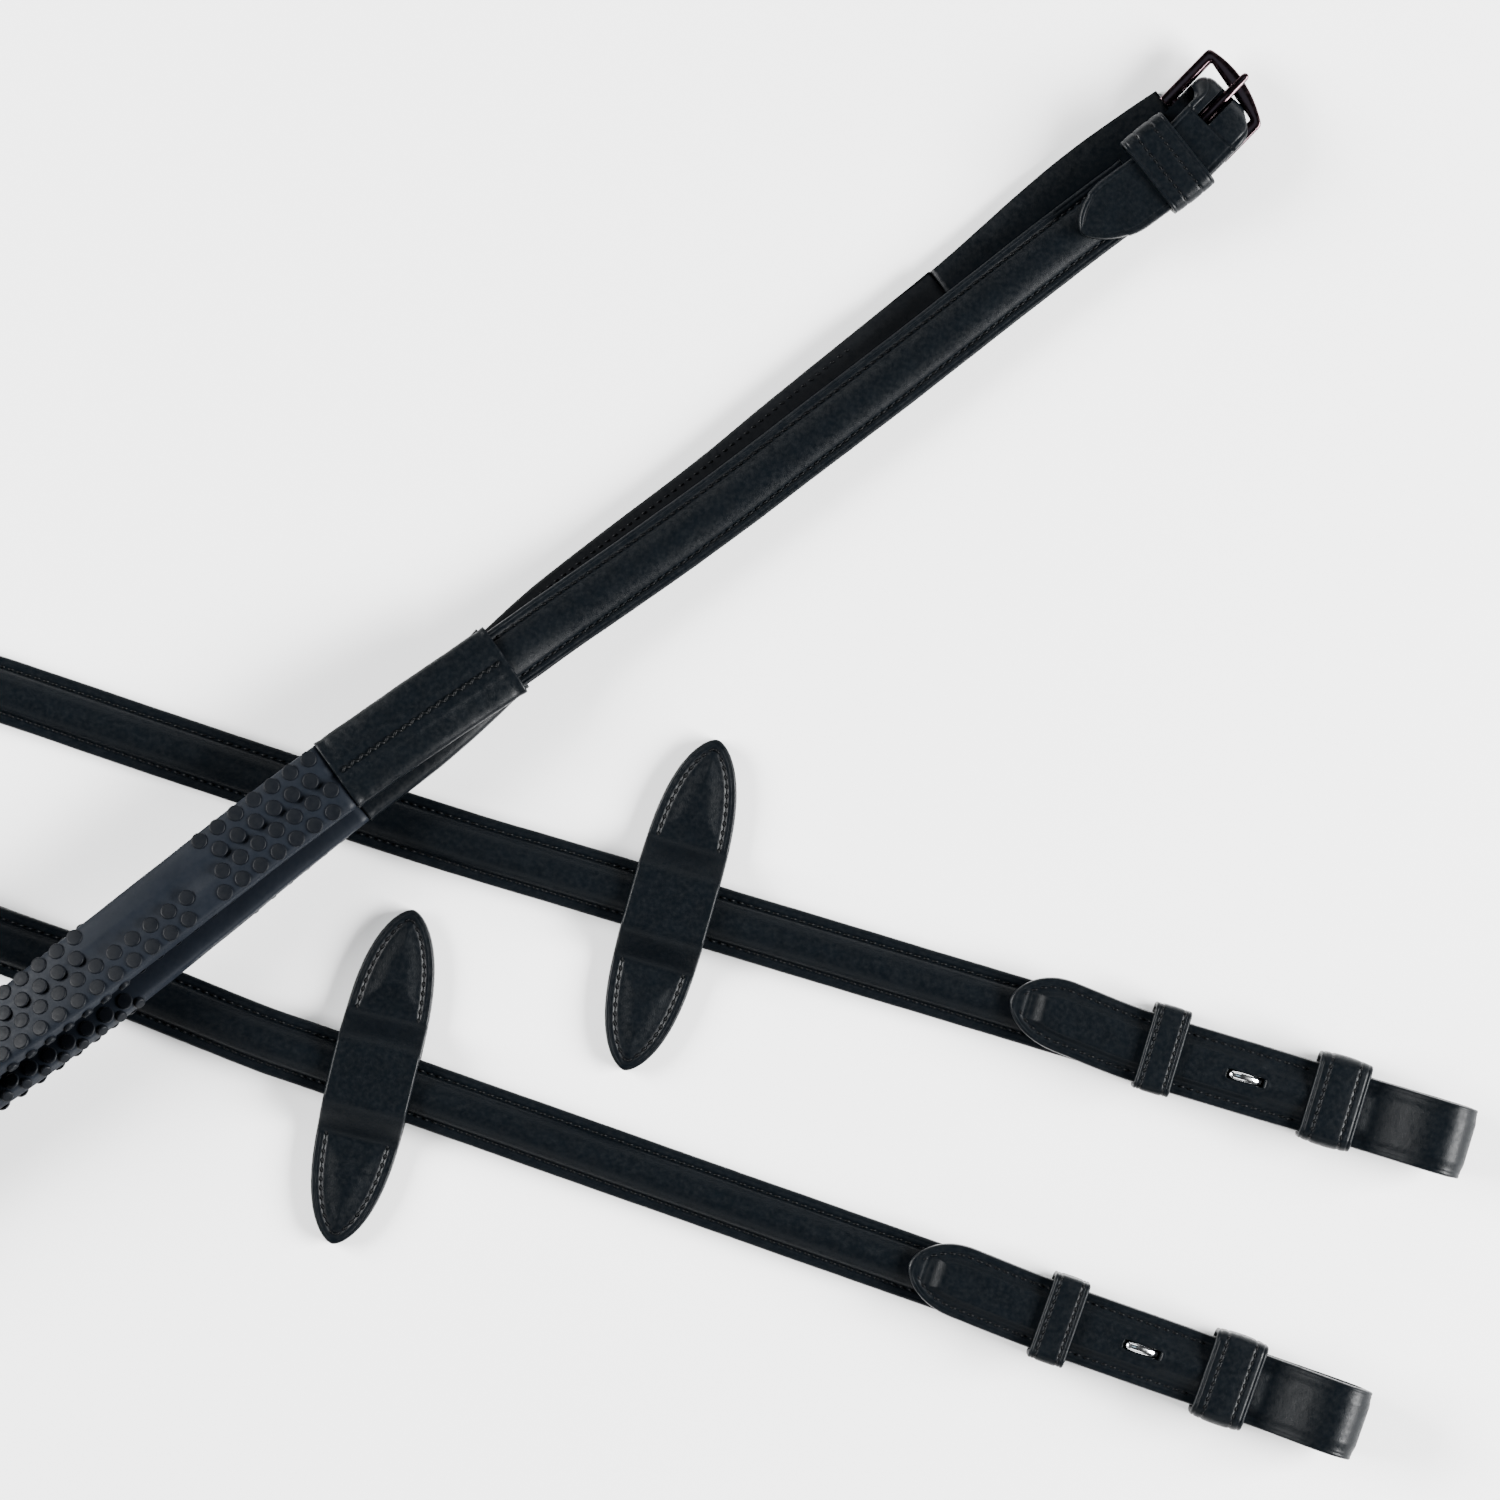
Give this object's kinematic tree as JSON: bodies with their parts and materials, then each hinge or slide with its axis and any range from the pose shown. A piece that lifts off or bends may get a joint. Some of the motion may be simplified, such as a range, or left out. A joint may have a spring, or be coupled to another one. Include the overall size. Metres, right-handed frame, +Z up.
{
  "type": "leather reins",
  "caption": "Pair of padded leather reins with rubber hand grips, sliding leather rein stops, hook stud billets for the bit and a hand buckle.",
  "frame": {"origin": "middle of the laid-out reins in X and Y, on the surface they lie on", "axes": "+X from the grip loops towards the bit ends, +Y towards the hand buckle, +Z up from the surface"},
  "size_m": [0.6003, 0.3516, 0.0275],
  "materials": {
    "leather": "fine grain black bridle leather, soft satin sheen, stitched edges",
    "lining_leather": "smooth matt black lining leather",
    "filler": "pressed fibre padding, hidden",
    "webbing": "woven black core, hidden",
    "rubber": "matt dark slate rubber with flat round studs",
    "thread": "waxed black sewing thread",
    "nickel": "bright nickel",
    "gunmetal": "polished dark gunmetal"
  },
  "bodies": {
    "root": {"buckle_hand_lining": "lining_leather", "buckle_hand_filler": "filler", "buckle_hand_cover": "leather", "buckle_hand_sleeve": "leather", "buckle_grip_core": "webbing", "buckle_grip_rubber": "rubber", "buckle_bit_sleeve": "leather", "buckle_bit_lining": "lining_leather", "buckle_bit_filler": "filler", "buckle_bit_cover": "leather", "buckle_bit_billet": "leather", "buckle_hook_stud": "nickel", "buckle_fixed_keeper": "leather", "point_hand_lining": "lining_leather", "point_hand_filler": "filler", "point_hand_cover": "leather", "point_hand_sleeve": "leather", "point_grip_core": "webbing", "point_grip_rubber": "rubber", "point_bit_sleeve": "leather", "point_bit_lining": "lining_leather", "point_bit_filler": "filler", "point_bit_cover": "leather", "point_bit_billet": "leather", "point_hook_stud": "nickel", "point_fixed_keeper": "leather", "point_strap": "leather", "point_tip": "leather", "buckle_fold": "leather", "buckle_keeper": "leather"},
    "buckle": {"buckle_frame": "gunmetal", "buckle_bar": "gunmetal"},
    "tongue": {"buckle_tongue": "gunmetal"},
    "buckle_stop": {"buckle_stop_top": "leather", "buckle_stop_bottom": "lining_leather"},
    "point_stop": {"point_stop_top": "leather", "point_stop_bottom": "lining_leather"},
    "buckle_slider": {"buckle_sliding_keeper": "leather"},
    "point_slider": {"point_sliding_keeper": "leather"}
  },
  "joints": [
    {"name": "buckle_swing", "type": "hinge", "parent": "root", "child": "buckle", "pos_m": [0.2298, 0.156, 0.007], "axis": [0.7157, -0.6984, 0], "range_deg": [0, 25]},
    {"name": "tongue_lift", "type": "hinge", "parent": "buckle", "child": "tongue", "pos_m": [0.2298, 0.156, 0.007], "axis": [0.7157, -0.6984, 0], "range_deg": [0, 15]},
    {"name": "buckle_stop_slide", "type": "slide", "parent": "root", "child": "buckle_stop", "axis": [0.9432, -0.3322, 0], "range_m": [-0.005, 0.02]},
    {"name": "point_stop_slide", "type": "slide", "parent": "root", "child": "point_stop", "axis": [0.9578, -0.2874, 0], "range_m": [-0.01, 0.05]},
    {"name": "buckle_keeper_slide", "type": "slide", "parent": "root", "child": "buckle_slider", "axis": [0.9432, -0.3322, 0], "range_m": [-0.02, 0.01]},
    {"name": "point_keeper_slide", "type": "slide", "parent": "root", "child": "point_slider", "axis": [0.9578, -0.2874, 0], "range_m": [-0.02, 0.01]}
  ]
}
